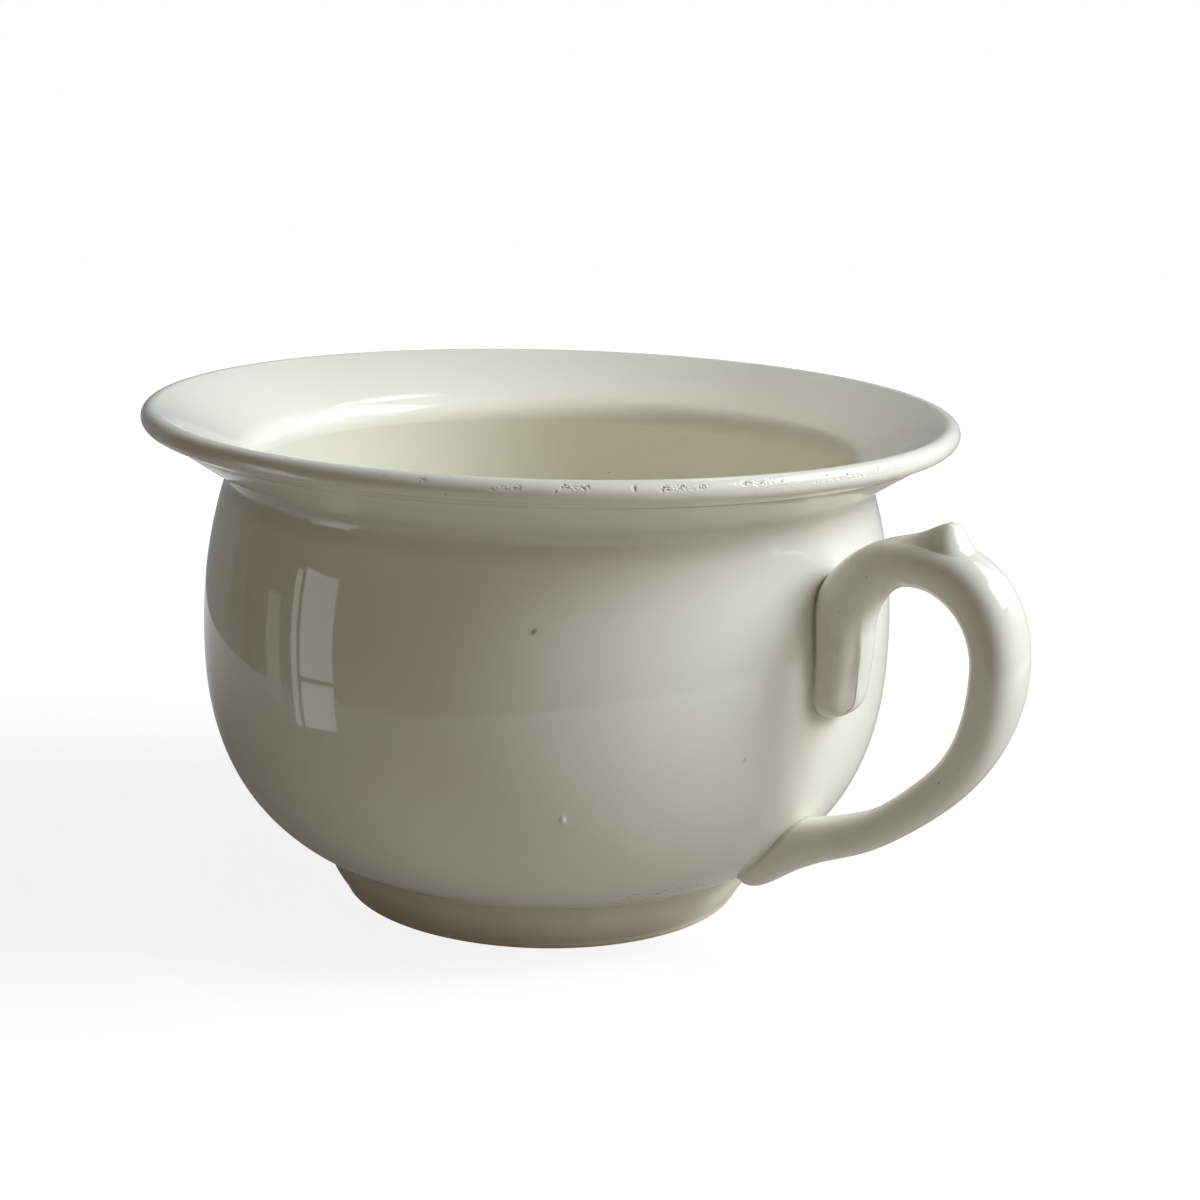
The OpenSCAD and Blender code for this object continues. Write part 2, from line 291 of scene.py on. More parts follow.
# %% Points along the handle
loop_reach, loop_z, lower_turn = 48.5 * mm, 92 * mm, math.radians(44.5)
tongue_l, tail_z, tail_bend = 22 * mm, 18.3 * mm, 40 * mm
arch_r = loop_reach / 2
arch = (belly_r + arch_r, loop_z)
tail_start = Vector((belly_r + loop_reach * math.cos(lower_turn), loop_z - loop_reach * math.sin(lower_turn)))
tail_tip = Vector((wall_radius(tail_z), tail_z))
up_wall = (Vector((wall_radius(tail_z + 8 * mm), tail_z + 8 * mm)) - tail_tip).normalized()
tail_ends = [tail_start, tail_start - tail_bend * Vector((math.sin(lower_turn), math.cos(lower_turn))),
             tail_tip + tail_bend * up_wall, tail_tip]


def way_point(share):
    """Point of the handle's way: to 1 the tongue, to 2 the arch, to 3 the lower arc, to 4 the tail."""
    if share <= 1:
        return Vector((belly_r, loop_z - tongue_l * (1 - share)))
    if share <= 2:
        a = math.pi * (2 - share)
        return Vector((arch[0] + arch_r * math.cos(a), arch[1] + arch_r * math.sin(a)))
    if share <= 3:
        a = -lower_turn * (share - 2)
        return Vector((belly_r + loop_reach * math.cos(a), loop_z + loop_reach * math.sin(a)))
    s = share - 3
    weights = ((1 - s) ** 3, 3 * s * (1 - s) ** 2, 3 * s * s * (1 - s), s**3)
    return sum((w * p for w, p in zip(weights, tail_ends)), Vector((0, 0)))


# %% [markdown]
# ## The strap
# The strap is first made straight, as it came out of the mould: a ring of corners is extruded along its
# length, and each new ring is scaled to the thickness and width that the strap has there. It is thick and
# flat at the tongue, swells at the shoulder and is slimmest below. A subdivision modifier rounds it, and
# a curve modifier bends it along its way.

# %% Sizes of the strap
# Share of the way, then in mm how far the middle line lies outside its arcs, half thickness, half width
strap_sizes = [
    (0.00, -0.2, 7.2, 10.0),
    (1.00, -1.2, 8.2, 10.0),
    (1.45, -0.6, 6.5, 9.0),
    (1.75, 0.5, 7.6, 9.2),
    (2.00, 0.0, 6.8, 9.2),
    (3.00, 0.3, 5.3, 7.2),
    (3.20, 0.0, 5.0, 7.2),
    (3.50, -0.3, 5.6, 7.8),
    (3.78, -0.9, 6.5, 8.1),
    (4.00, 0.0, 5.8, 8.0),
]
tongue_round, tail_round, tip_scale, end_fullness, strap_fullness = 8 * mm, 7 * mm, 0.12, 2.4, 2.3
tail_l = (tail_tip - tail_start).length


def ease(x, start, end):
    """0 before the start, 1 after the end and a soft change between them."""
    share = min(1, max(0, (x - start) / (end - start)))
    return share * share * (3 - 2 * share)


def strap_size(share):
    """Offset, half thickness and half width of the strap, eased from one given place to the next."""
    for before, after in zip(strap_sizes, strap_sizes[1:]):
        if share <= after[0]:
            part = ease(share, before[0], after[0])
            return [(a + (b - a) * part) * mm for a, b in zip(before[1:], after[1:])]


way_steps, nudge = 400, 0.001
way = []
for i in range(way_steps + 1):
    share = 4 * i / way_steps
    step = way_point(min(share + nudge, 4)) - way_point(max(share - nudge, 0))
    way.append(way_point(share) + strap_size(share)[0] * Vector((-step.y, step.x)).normalized())
way_lengths = [0.0]
for a, b in zip(way, way[1:]):
    way_lengths.append(way_lengths[-1] + (b - a).length)
print("handle's length in mm:", round(way_lengths[-1] / mm, 1))


def end_scale(from_tip, round_l):
    """Rounds off a lapped end: the share of its full size at some distance from its tip."""
    if from_tip >= round_l:
        return 1
    return max(tip_scale, (1 - (1 - from_tip / round_l) ** end_fullness) ** (1 / end_fullness))


def station(share):
    length = way_lengths[round(share / 4 * way_steps)]
    _, thick, wide = strap_size(share)
    scale = end_scale(share * tongue_l, tongue_round) * end_scale((4 - share) * tail_l, tail_round)
    return length, thick * scale, wide * scale


tongue_shares = [0.00, 0.01, 0.03, 0.07, 0.13, 0.20, 0.28, 0.37, 0.47, 0.60, 0.75, 0.90]
tail_shares = [3.84, 3.88, 3.92, 3.95, 3.97, 3.99, 4.00]
middle_shares = [round(1 + i * 0.06, 2) for i in range(47)]
strap_shares = tongue_shares + middle_shares + tail_shares
print("rings of the strap:", len(strap_shares))

# %% [markdown]
# Blender's curve modifier needs a curve object. It stands for the template that the wet strap was laid
# along, and is removed when all pieces that follow it are bent. Before it is bent, one row of the strap's
# corners is raised and creased, because the halves of the mould met along the tongue and left a ridge
# there.

# %% Bend a strap along the way
template_data = bpy.data.curves.new("handle_template", "CURVE")
template_data.dimensions = "3D"
template_data.twist_mode = "Z_UP"
template_data.resolution_u = 1
spline = template_data.splines.new("POLY")
spline.points.add(len(way) - 1)
for point, (x, z) in zip(spline.points, way):
    point.co = (x, z, 0, 1)
template = bpy.data.objects.new("handle_template", template_data)
scene.collection.objects.link(template)

# Lengths along the strap from the tongue's tip, then the ridge's height and how far it leans to one side
seam_start, seam_full, seam_fade, seam_end = 1.5 * mm, 6 * mm, 14 * mm, 34 * mm
lean_start, lean_end = 4 * mm, 18 * mm
seam_h, seam_lean, seam_crease = 0.8 * mm, 1.1 * mm, 0.8
seam_row = (0.2, 0.35)


def full(x):
    """A cosine or sine pushed outwards to a fuller oval."""
    return math.copysign(abs(x) ** (2 / strap_fullness), x)


def raise_seam(strap):
    """The row of corners that lies at a given share of the half width rises to a ridge."""
    bpy.ops.mesh.select_mode(type="VERT")
    bpy.ops.mesh.select_all(action="DESELECT")
    bpy.ops.object.mode_set(mode="OBJECT")
    widest = {}
    for corner in strap.data.vertices:
        ring = round(corner.co.x / mm, 3)
        widest[ring] = max(widest.get(ring, 0), corner.co.z)
    for corner in strap.data.vertices:
        x, y, z = corner.co
        in_row = seam_row[0] < z / widest[round(x / mm, 3)] < seam_row[1]
        corner.select = in_row and y < 0 and seam_start < x < seam_end
        if corner.select:
            corner.co.y -= seam_h * ease(x, seam_start, seam_full) * (1 - ease(x, seam_fade, seam_end))
            corner.co.z += seam_lean * ease(x, lean_start, lean_end)
    bpy.ops.object.mode_set(mode="EDIT")
    bpy.ops.transform.edge_crease(value=seam_crease)


def make_strap(name, shares, grow=0.0, sides=28):
    clear_selection()
    bpy.ops.mesh.primitive_circle_add(vertices=sides, radius=mm, rotation=(0, math.pi / 2, 0))
    strap = bpy.context.object
    strap.name = strap.data.name = name
    bpy.ops.object.transform_apply(rotation=True)
    x, thick, wide = station(shares[0])
    thick, wide = thick + grow, wide + grow
    for corner in strap.data.vertices:
        corner.co = (x, full(corner.co.y / mm) * thick, full(corner.co.z / mm) * wide)
    bpy.ops.object.mode_set(mode="EDIT")
    bpy.ops.mesh.select_all(action="SELECT")
    for share in shares[1:]:
        new_x, new_thick, new_wide = station(share)
        new_thick, new_wide = new_thick + grow, new_wide + grow
        bpy.ops.mesh.extrude_edges_move(TRANSFORM_OT_translate={"value": (new_x - x, 0, 0)})
        bpy.ops.transform.resize(value=(1, new_thick / thick, new_wide / wide), center_override=(new_x, 0, 0))
        x, thick, wide = new_x, new_thick, new_wide
    bpy.ops.mesh.select_all(action="SELECT")
    bpy.ops.mesh.fill_holes(sides=0)
    bpy.ops.mesh.normals_make_consistent(inside=False)
    raise_seam(strap)
    bpy.ops.object.mode_set(mode="OBJECT")
    apply_modifier(strap, "SUBSURF", levels=2, render_levels=2)
    apply_modifier(strap, "CURVE", object=template, deform_axis="POS_X")
    bpy.ops.object.mode_set(mode="EDIT")
    bpy.ops.mesh.select_all(action="SELECT")
    bpy.ops.transform.rotate(value=-math.pi / 2, orient_axis="X", center_override=(0, 0, 0))
    bpy.ops.object.mode_set(mode="OBJECT")
    print(name, "highest point in mm:", round(max(v.co.z for v in strap.data.vertices) / mm, 1))
    return strap


handle = make_strap("strap_handle", strap_shares)

# %% [markdown]
# ## Seating the handle
# The ends of the handle were scraped to the round of the belly before they were stuck on. A solid with
# the bowl's outside, thicker by the layer of slip, is subtracted from the strap, which gives the tongue
# and the tail the same seat.

# %% Cut the seat
slip_t, slip_bead, seat_top_z, slope_step = 0.6 * mm, 0.45 * mm, neck_z - 4 * mm, 0.05 * mm


def belly_line(grow, steps=60):
    """Outside of the bowl moved outwards, from its bottom to a little under the neck."""
    line = []
    for i in range(steps + 1):
        z = base_z + (seat_top_z - base_z) * i / steps
        slope = (wall_radius(z + slope_step) - wall_radius(z - slope_step)) / (2 * slope_step)
        side = math.hypot(1, slope)
        line.append((wall_radius(z) + grow / side, z - grow * slope / side))
    return line


def boolean(piece, tool, operation):
    bpy.context.view_layer.objects.active = piece
    apply_modifier(piece, "BOOLEAN", object=tool, operation=operation, solver="EXACT")
    bpy.data.objects.remove(tool)


seat_line = belly_line(slip_t)
seat = draw_line("seat", [(0, seat_line[0][1])] + seat_line + [(0, seat_line[-1][1])])
turn(seat, 360)
clear_selection()
handle.select_set(True)
boolean(handle, seat, "DIFFERENCE")
bpy.ops.object.shade_smooth_by_angle(angle=math.radians(40))
print("handle after its seat was cut:", len(handle.data.polygons), "faces")

# %% [markdown]
# ## The slip under the handle
# Slip is clay stirred to a cream. It was brushed on both ends, and a little squeezed out round them. Each
# layer is the part of a thin coat on the belly that lies under a slightly larger strap.

# %% The two slip joints
tongue_end, tail_begin = 1.45, 3.2


def slip_joint(name, shares):
    joint = make_strap(name, shares, slip_bead)
    line = belly_line(0) + belly_line(slip_t)[::-1]
    coat = draw_line("coat", line + line[:1])
    turn(coat, 360)
    clear_selection()
    joint.select_set(True)
    boolean(joint, coat, "INTERSECT")
    bpy.ops.object.shade_smooth_by_angle(angle=math.radians(40))
    print(name, len(joint.data.polygons), "faces")
    return joint


upper_slip = slip_joint("upper_joint", [s for s in strap_shares if s < tongue_end])
lower_slip = slip_joint("lower_joint", [s for s in strap_shares if s > tail_begin])

# %% [markdown]
# ## The thumb rest
# On top of the arch the clay was pinched up to a blunt crest across the strap, so that the thumb has a
# hold when the pot is carried. A round patch is inset ring by ring, wrapped on the strap and then raised
# by a vertex group: steeply in front of the crest, and in a long hollow behind it.

# %% The thumb rest
spur_h, spur_back, spur_front, spur_half_w = 5.1 * mm, 22 * mm, 8.5 * mm, 8.8 * mm
spur_turn, spur_rings, crown_r = math.radians(76), 30, arch_r + 6.6 * mm
patch_lift, patch_sink, patch_t = 1.3 * mm, 0.03 * mm, 1.2 * mm

# How blunt the crest is and how hollow its slope is, in front and behind, and the flat share of its width
front_fall, back_fall, crest_flat = (0.5, 2.5), (0.11, 3.8), 0.08


def blunt_fall(share, blunt, power):
    """1 at the tip and 0 at the edge, hollow between them, with a blunted tip."""
    fall = (math.hypot(share, blunt) - blunt) / (math.hypot(1, blunt) - blunt)
    return max(0, 1 - fall) ** power


clear_selection()
bpy.ops.mesh.primitive_circle_add(vertices=64, radius=mm, fill_type="NGON")
thumb_rest = bpy.context.object
thumb_rest.name = thumb_rest.data.name = "pinched_thumb_rest"
bpy.ops.object.mode_set(mode="EDIT")
bpy.ops.mesh.select_all(action="SELECT")
for i in range(1, spur_rings):
    bpy.ops.mesh.inset(thickness=mm / spur_rings, depth=0)
bpy.ops.mesh.poke()
bpy.ops.object.mode_set(mode="OBJECT")
pinch = thumb_rest.vertex_groups.new(name="pinch")
for corner in thumb_rest.data.vertices:
    x, y, _ = corner.co / mm
    half_here = math.sqrt(max(1 - x * x, 1e-6))
    rise = blunt_fall(x, *(front_fall if x > 0 else back_fall))
    pinch.add([corner.index], rise * (1 - ease(abs(y) / half_here, crest_flat, 1)), "REPLACE")
    along_strap = x * (spur_front if x > 0 else spur_back)
    lean = spur_turn - along_strap / crown_r
    up = crown_r + patch_lift
    corner.co = (arch[0] + up * math.cos(lean), y * spur_half_w, arch[1] + up * math.sin(lean))
apply_modifier(thumb_rest, "SHRINKWRAP", target=handle, wrap_method="NEAREST_SURFACEPOINT",
               offset=-patch_sink)
apply_modifier(thumb_rest, "DISPLACE", vertex_group="pinch", strength=spur_h, mid_level=0)
apply_modifier(thumb_rest, "SOLIDIFY", thickness=patch_t, offset=-1)
bpy.ops.object.shade_smooth_by_angle(angle=math.radians(50))
print("thumb rest reaches to", round(max(v.co.z for v in thumb_rest.data.vertices) / mm, 1), "mm")
bpy.data.objects.remove(template)

# %% [markdown]
# ## Chips and pits
# The lip has knocked against things for many years. Small flakes of glaze are missing from its edge, and
# the body shows in them. The belly and the handle have a few pits too, and one pimple. Faces near each
# place are first made smaller, and a Displace modifier with a cloudy texture then presses irregular pits
# into them. How deep each corner went is kept as an attribute, which the glaze's colour reads.

# %% A helper that wears a surface
mark_margin, mark_reach, mark_ramp = 2 * mm, 1.5, 0.12


def near(spot, place):
    """How far a corner lies from a mark, where 1 is the mark's edge."""
    angle, r, z, half_l, half_h, _ = place
    turned = math.remainder(math.atan2(spot.y, spot.x) - angle, math.tau)
    return math.hypot(turned * r / half_l, math.hypot(math.hypot(spot.x, spot.y) - r, spot.z - z) / half_h)


def fading(far):
    """Full strength near a mark's middle, and none a little past its edge."""
    return min(1, max(0, 1.4 - 1.2 * far))


def wear(piece, name, places, depth, grain, cuts, threshold):
    """Presses pits into a piece. A place is an angle, a radius, a height, two half sizes and a strength."""
    low = min(z - half_h for _, _, z, _, half_h, _ in places) - mark_margin
    high = max(z + half_h for _, _, z, _, half_h, _ in places) + mark_margin
    inner = min(r - half_h for _, r, _, _, half_h, _ in places) - mark_margin

    def in_zone(spot):
        return low < spot.z < high and math.hypot(spot.x, spot.y) > inner

    clear_selection()
    bpy.context.view_layer.objects.active = piece
    piece.select_set(True)
    bpy.ops.object.mode_set(mode="EDIT")
    bpy.ops.mesh.select_mode(type="FACE")
    bpy.ops.mesh.select_all(action="DESELECT")
    bpy.ops.object.mode_set(mode="OBJECT")
    for face in piece.data.polygons:
        if in_zone(face.center):
            face.select = any(near(face.center, place) < mark_reach for place in places)
    bpy.ops.object.mode_set(mode="EDIT")
    bpy.ops.mesh.subdivide(number_cuts=cuts)
    bpy.ops.mesh.select_mode(type="VERT")
    bpy.ops.object.mode_set(mode="OBJECT")

    group = piece.vertex_groups.new(name=name)
    for corner in piece.data.vertices:
        if in_zone(corner.co):
            weight = max(place[5] * fading(near(corner.co, place)) for place in places)
            if weight > 0:
                group.add([corner.index], weight, "REPLACE")
    before = [corner.co.copy() for corner in piece.data.vertices]
    clouds = bpy.data.textures.new(name, "CLOUDS")
    clouds.noise_scale, clouds.noise_depth = grain, 2
    clouds.use_color_ramp = True
    first, last = clouds.color_ramp.elements
    first.position, first.color = threshold, (0, 0, 0, 1)
    last.position, last.color = threshold + mark_ramp, (1, 1, 1, 1)
    apply_modifier(piece, "DISPLACE", vertex_group=name, strength=-depth, mid_level=0, texture=clouds,
                   texture_coords="LOCAL")
    worn = piece.data.attributes.get("worn") or piece.data.attributes.new("worn", "FLOAT", "POINT")
    deepest = 0
    for corner, old in zip(piece.data.vertices, before):
        share = (corner.co - old).length / abs(depth)
        deepest = max(deepest, share)
        if share > 0 and depth > 0:
            worn.data[corner.index].value = share
    print(name, "depth in mm:", round(deepest * depth / mm, 2))
    print(piece.name, "now has", len(piece.data.polygons), "faces")


def on_lip(angle, turned, half_l, half_h, strength):
    """A place on the rolled lip, by its angle round the pot and its turn round the bead, both in degrees."""
    t = math.radians(turned)
    r, z = lip[0] + lip_r * math.cos(t), lip[1] + lip_r * math.sin(t)
    return (math.radians(angle), r, z, half_l * mm, half_h * mm, strength)


# %% Chips on the lip
# Angle round the pot, turn round the bead, two half sizes in mm and strength
lip_chips = [
    (-58, 18, 0.8, 0.6, 0.6), (-55, 26, 1.3, 1.0, 1.0), (-50.4, 7, 0.5, 0.7, 1.0),
    (-49.3, 38, 1.6, 0.9, 0.8), (-47, 36, 1.6, 1.0, 0.8), (-41, 30, 0.5, 1.0, 1.0),
    (-37.2, 24, 1.3, 1.2, 1.0), (-35, 30, 1.8, 1.0, 0.8), (-32.5, 28, 1.6, 0.8, 0.7),
    (-26.5, 38, 1.5, 0.9, 0.9), (-24.5, 34, 0.8, 1.0, 1.0), (-21.5, 34, 0.5, 0.6, 1.0),
    (-14.5, 40, 0.5, 1.0, 1.0), (-11, 26, 0.8, 0.6, 0.8), (-5, 28, 0.4, 1.3, 1.0),
    (13.7, 36, 1.0, 0.8, 0.7), (-118, 43, 0.8, 0.8, 0.8), (-110, 66, 0.7, 0.7, 0.8),
    (-105, -13, 0.5, 1.2, 1.0), (-71.7, 33, 0.7, 0.6, 0.8), (-66.5, 36, 1.6, 0.8, 0.7),
    (-63.6, -32, 0.6, 0.5, 0.9), (-39.2, -60, 0.6, 0.4, 1.0), (-8, 12, 36, 0.7, 0.35),
    (-48, 34, 5, 1.3, 0.3), (-35, 28, 7, 1.2, 0.3), (-25, 36, 7, 1.1, 0.3),
    (-56, 24, 4, 1.0, 0.3), (64, 30, 1.2, 0.9, 0.9), (71, 20, 0.6, 1.0, 0.9),
    (118, 35, 1.4, 0.8, 0.9), (151, 25, 0.8, 0.9, 0.9), (176, 32, 1.2, 0.7, 0.8),
    (-160, 28, 0.9, 1.0, 0.9), (-138, 38, 1.3, 0.8, 0.8),
]
chip_places = [on_lip(*chip) for chip in lip_chips]
wear(rim, "lip_chips", chip_places, depth=0.38 * mm, grain=0.45 * mm, cuts=3, threshold=0.47)

# %% Specks and a pimple in the bowl's glaze


def on_wall(angle, z, half_l, half_h, strength):
    """A place on the outside of the bowl, by its angle in degrees. Its height and half sizes are in mm."""
    return (math.radians(angle), wall_radius(z * mm), z * mm, half_l * mm, half_h * mm, strength)


bowl_pits = [(-53, 100, 0.2), (-19, 63.6, 0.2), (-110, 112.4, 0.25), (-121, 109, 0.25), (34, 71, 0.25),
             (97, 88, 0.25)]
pit_places = [on_wall(angle, z, half, half, 1) for angle, z, half in bowl_pits]
wear(bowl, "glaze_pits", pit_places, depth=0.3 * mm, grain=2 * mm, cuts=12, threshold=0.0)
heel_places = [on_wall(-25, 22, 24, 3.5, 0.7)]
wear(bowl, "heel_pits", heel_places, depth=0.22 * mm, grain=1.1 * mm, cuts=4, threshold=0.52)
pimple_places = [on_wall(-48, 50.5, 0.8, 1.1, 1)]
wear(bowl, "pimple", pimple_places, depth=-0.5 * mm, grain=3 * mm, cuts=5, threshold=0.0)

# %% Knocks on the handle
# Angle in degrees, then radius, height and two half sizes in mm
handle_knocks = [
    (-2.8, 133.2, 54.4, 0.6, 0.5), (-2.4, 136.4, 56.3, 0.5, 1.0), (-3.0, 140.8, 65.9, 0.5, 0.5),
    (-2.9, 139.3, 72.1, 0.5, 0.4), (-3.0, 135.2, 61.2, 0.5, 0.5), (-5.2, 104.0, 100.7, 0.4, 0.6),
    (-4.6, 111.8, 111.5, 0.4, 0.6),
]
knock_places = [(math.radians(angle), *(size * mm for size in sizes), 1) for angle, *sizes in handle_knocks]
wear(handle, "handle_knocks", knock_places, depth=0.2 * mm, grain=0.6 * mm, cuts=4, threshold=0.42)

# %% [markdown]
# ## Painted shade in the corners, and dirt in the seam
# Shade is painted as a darker colour where the rim, the bead and the handle keep the light off: in the
# hollow under the rim, in the groove behind the lip, most on the handle's side, and along the edges of the
# handle's seat. Dirt darkens the seam of the tongue. Both are a second attribute, painted by place. A
# weight brush could paint it by hand, but a rule gives the same each time.

# %% Painted shade and seam dirt by place
# How dark the painted shade is at the neck and in the groove, and how dark the dirt in the tongue's seam is
neck_shade, groove_shade, groove_shade_by_handle, seam_dust = 0.16, 0.12, 0.8, 0.85
seam_side, seam_half_w = 2.6 * mm, 0.25 * mm


def paint_shade_and_dirt(piece, shade_and_dirt_at):
    painted_shade_and_dirt = piece.data.attributes.new("painted_shade_and_dirt", "FLOAT", "POINT")
    amounts = [shade_and_dirt_at(corner.co) for corner in piece.data.vertices]
    painted_shade_and_dirt.data.foreach_set("value", amounts)
    print("grime on", piece.name, "at", sum(amount > 0.1 for amount in amounts), "corners")


# Painted shade in the hollow under the rim, darkest at the neck line and gone some 9 mm from it
def neck_painted_shade(spot):
    r = math.hypot(spot.x, spot.y)
    from_neck_line = math.hypot(r - neck_r, spot.z - neck_z)
    outside_neck = r > neck_r - 2 * mm
    return neck_shade * (1 - ease(from_neck_line, 1.5 * mm, 9 * mm)) if outside_neck else 0


# Painted shade in the groove behind the bead, most on the handle's side, and in the hollow under the rim
def lip_painted_shade(spot):
    from_groove = math.hypot(math.hypot(spot.x, spot.y) - groove[0], spot.z - groove[1])
    by_handle = ease(math.cos(math.atan2(spot.y, spot.x) + math.radians(8)), 0.75, 0.97)
    in_groove = 1 - ease(from_groove, 0.15 * mm, 0.45 * mm)
    return max(neck_painted_shade(spot), in_groove * (groove_shade + groove_shade_by_handle * by_handle))


def seat_shade_and_seam_dirt(spot):
    """Dirt in the tongue's seam, less further up, and painted shade at the wall, most at the handle's top."""
    from_wall = math.hypot(spot.x, spot.y) - wall_radius(spot.z)
    seam_y = -seam_side - seam_lean * ease(spot.z, 72 * mm, 86 * mm)
    on_face = 71 * mm < spot.z and 5 * mm < from_wall < 14 * mm
    on_seam = on_face and abs(spot.y - seam_y) < seam_half_w
    in_seam = seam_dust - 0.6 * ease(spot.z, 78 * mm, 84 * mm) - 0.25 * ease(spot.z, 90 * mm, 96 * mm)
    # Painted shade along the edges where the handle and its slip meet the wall
    contact_shade = 0.1 + 0.45 * ease(spot.z, 76 * mm, 94 * mm)
    return max(in_seam * on_seam, contact_shade * (1 - ease(from_wall, 0.5 * mm, 1.6 * mm)))


# Painted shade on the rim and the bowl; painted shade and seam dirt on the handle and its slip
paint_shade_and_dirt(rim, lip_painted_shade)
paint_shade_and_dirt(bowl, neck_painted_shade)
for piece in (handle, upper_slip, lower_slip):
    paint_shade_and_dirt(piece, seat_shade_and_seam_dirt)

# %% [markdown]
# ## The glaze
# The glaze is a clear glass over a cream-white body. Its colour drifts a little from place to place, dark
# specks of iron show in it, and its surface is smooth but not flat, so reflections waver. On the foot it
# is thinner and dull. Noise textures give the drift, the specks and the waver, and two Mix nodes lay the
# worn places, the painted shade in the corners and the dirt in the tongue's seam over them.

# %% The glaze's material
# The last colour is laid on as painted shade in the corners and as dirt in the tongue's seam
iron, bare_body, shade_and_dirt_colour = (0.10, 0.075, 0.05), (0.38, 0.335, 0.275), (0.13, 0.11, 0.085)


def add_node(tree, kind, values=None, **settings):
    made = tree.nodes.new("ShaderNode" + kind)
    for name, value in settings.items():
        setattr(made, name, value)
    for name, value in (values or {}).items():
        made.inputs[name].default_value = value
    return made


def link(tree, pairs):
    for source, target in pairs:
        tree.links.new(source, target)


def new_glaze(name, pale, deep, shine=(0.03, 0.08)):
    """A glaze between two colours, with the least and the most roughness that it has."""
    finish = bpy.data.materials.new(name)
    finish.use_nodes = True
    tree = finish.node_tree
    shader = tree.nodes["Principled BSDF"]
    place = add_node(tree, "TexCoord").outputs["Object"]
    drift = add_node(tree, "TexNoise", {"Scale": 11.0, "Detail": 2.0})
    tone = add_node(tree, "ValToRGB")
    dark_end, light_end = tone.color_ramp.elements
    dark_end.position, dark_end.color = 0.35, (*deep, 1)
    light_end.position, light_end.color = 0.65, (*pale, 1)
    specks = add_node(tree, "TexVoronoi", {"Scale": 60.0})
    speck_size = add_node(tree, "MapRange", {"From Min": 0.55, "To Max": 0.03})
    speck_here = add_node(tree, "Math", operation="LESS_THAN")
    speck_mix = add_node(tree, "Mix", {7: (*iron, 1)}, data_type="RGBA")
    worn = add_node(tree, "Attribute", attribute_name="worn")
    worn_share = add_node(tree, "MapRange", {"From Min": 0.35, "From Max": 0.8, "To Max": 0.9})
    worn_mix = add_node(tree, "Mix", {7: (*bare_body, 1)}, data_type="RGBA")
    # This attribute darkens the corners as painted shade, and the tongue's seam as dirt
    painted_shade_and_dirt = add_node(tree, "Attribute", attribute_name="painted_shade_and_dirt")
    shade_and_dirt_mix = add_node(tree, "Mix", {7: (*shade_and_dirt_colour, 1)}, data_type="RGBA")
    sheen = add_node(tree, "TexNoise", {"Scale": 30.0, "Detail": 3.0})
    rough = add_node(tree, "MapRange", {"From Min": 0.3, "From Max": 0.7})
    rough.inputs["To Min"].default_value, rough.inputs["To Max"].default_value = shine
    waver = add_node(tree, "TexNoise", {"Scale": 38.0, "Detail": 1.0})
    bump = add_node(tree, "Bump", {"Strength": 0.25, "Distance": 0.4 * mm})
    link(tree, [
        (place, drift.inputs["Vector"]), (drift.outputs["Fac"], tone.inputs["Fac"]),
        (place, specks.inputs["Vector"]), (specks.outputs["Color"], speck_size.inputs["Value"]),
        (specks.outputs["Distance"], speck_here.inputs[0]),
        (speck_size.outputs["Result"], speck_here.inputs[1]),
        (tone.outputs["Color"], speck_mix.inputs[6]), (speck_here.outputs[0], speck_mix.inputs[0]),
        (speck_mix.outputs[2], worn_mix.inputs[6]), (worn.outputs["Fac"], worn_share.inputs["Value"]),
        (worn_share.outputs["Result"], worn_mix.inputs[0]), (worn_mix.outputs[2], shade_and_dirt_mix.inputs[6]),
        (painted_shade_and_dirt.outputs["Fac"], shade_and_dirt_mix.inputs[0]), (shade_and_dirt_mix.outputs[2], shader.inputs["Base Color"]),
        (place, sheen.inputs["Vector"]), (sheen.outputs["Fac"], rough.inputs["Value"]),
        (rough.outputs["Result"], shader.inputs["Roughness"]),
        (place, waver.inputs["Vector"]), (waver.outputs["Fac"], bump.inputs["Height"]),
        (bump.outputs["Normal"], shader.inputs["Normal"]),
    ])
    shader.inputs["IOR"].default_value = 1.4
    return finish


glaze = new_glaze("cream_glaze", (0.86, 0.845, 0.765), (0.84, 0.82, 0.725))
slip = new_glaze("fired_slip", (0.82, 0.80, 0.71), (0.77, 0.745, 0.64))
foot_colours = ((0.80, 0.765, 0.66), (0.76, 0.71, 0.59))
foot_glaze = new_glaze("dull_foot_glaze", *foot_colours, (0.38, 0.5))
foot_slip_finish = new_glaze("dull_foot_slip", *foot_colours, (0.3, 0.42))
print("materials:", glaze.name, foot_glaze.name, slip.name, foot_slip_finish.name)

# %% [markdown]
# ## Every piece in its place
# Each piece gets its finish, rides on the pot's one body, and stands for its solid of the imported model.

# %% Finish the pieces


def set_piece(piece, finish, node):
    piece.data.materials.clear()
    piece.data.materials.append(finish)
    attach(piece, "root")
    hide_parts(node)
    print(piece.name, "stands for", node)


set_piece(bowl, glaze, "bowl")
set_piece(rim, glaze, "rim")
set_piece(foot_ring, foot_glaze, "foot_ring")
set_piece(foot_slip, foot_slip_finish, "foot_slip")
set_piece(handle, glaze, "handle")
set_piece(thumb_rest, glaze, "thumb_rest")
set_piece(upper_slip, slip, "upper_slip")
set_piece(lower_slip, slip, "lower_slip")

# %% [markdown]
# ## Floor
# The pot stands on a plain white floor. To the camera and in reflections the floor glows by itself, a
# little less under the pot, where its paint also shows the soft shadow. Further out it grows fully white,
# so that no horizon is seen. In reflections it is dimmer near the pot, on the side where the pot's shadow
# falls.

# %% The floor


